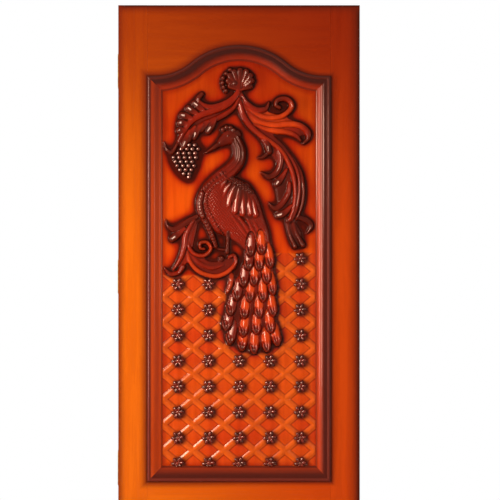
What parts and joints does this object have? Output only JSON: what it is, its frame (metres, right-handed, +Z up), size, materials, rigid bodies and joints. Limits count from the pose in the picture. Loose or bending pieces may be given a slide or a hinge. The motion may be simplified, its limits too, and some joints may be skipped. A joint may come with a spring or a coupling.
{
  "type": "carved wooden door",
  "caption": "Panelled wooden door leaf carved with a peacock, leaf scrolls and a flowered lattice under an arched moulding, swinging on butt hinges.",
  "frame": {"origin": "foot of the leaf, in the middle of its width and of its thickness", "axes": "+X to the right seen from the carved face, -Y out of the carved face, +Z up; the leaf is closed"},
  "size_m": [0.9206, 0.0646, 2.057],
  "materials": {
    "frame_wood": "gloss lacquer",
    "moulding_wood": "gloss lacquer",
    "carved_wood": "gloss lacquer",
    "brass": "satin",
    "screw_steel": "satin"
  },
  "bodies": {
    "jamb_plates": {"top_hinge_jamb_plate": "brass", "middle_hinge_jamb_plate": "brass", "bottom_hinge_jamb_plate": "brass", "top_hinge_pin": "brass", "middle_hinge_pin": "brass", "bottom_hinge_pin": "brass"},
    "leaf": {"hinge_stile": "frame_wood", "lock_stile": "frame_wood", "top_rail": "frame_wood", "bottom_rail": "frame_wood", "carved_panel": "carved_wood", "moulding_left": "moulding_wood", "moulding_right": "moulding_wood", "moulding_bottom": "moulding_wood", "moulding_arch": "moulding_wood", "back_bead_left": "moulding_wood", "back_bead_right": "moulding_wood", "back_bead_bottom": "moulding_wood", "back_bead_arch": "moulding_wood", "top_hinge_door_plate": "brass", "middle_hinge_door_plate": "brass", "bottom_hinge_door_plate": "brass", "top_hinge_screws": "screw_steel", "middle_hinge_screws": "screw_steel", "bottom_hinge_screws": "screw_steel"}
  },
  "joints": [
    {"name": "door_swing", "type": "hinge", "parent": "jamb_plates", "child": "leaf", "pos_m": [-0.4576, 0.0266, 0], "axis": [0, 0, 1], "range_deg": [0, 110]}
  ]
}
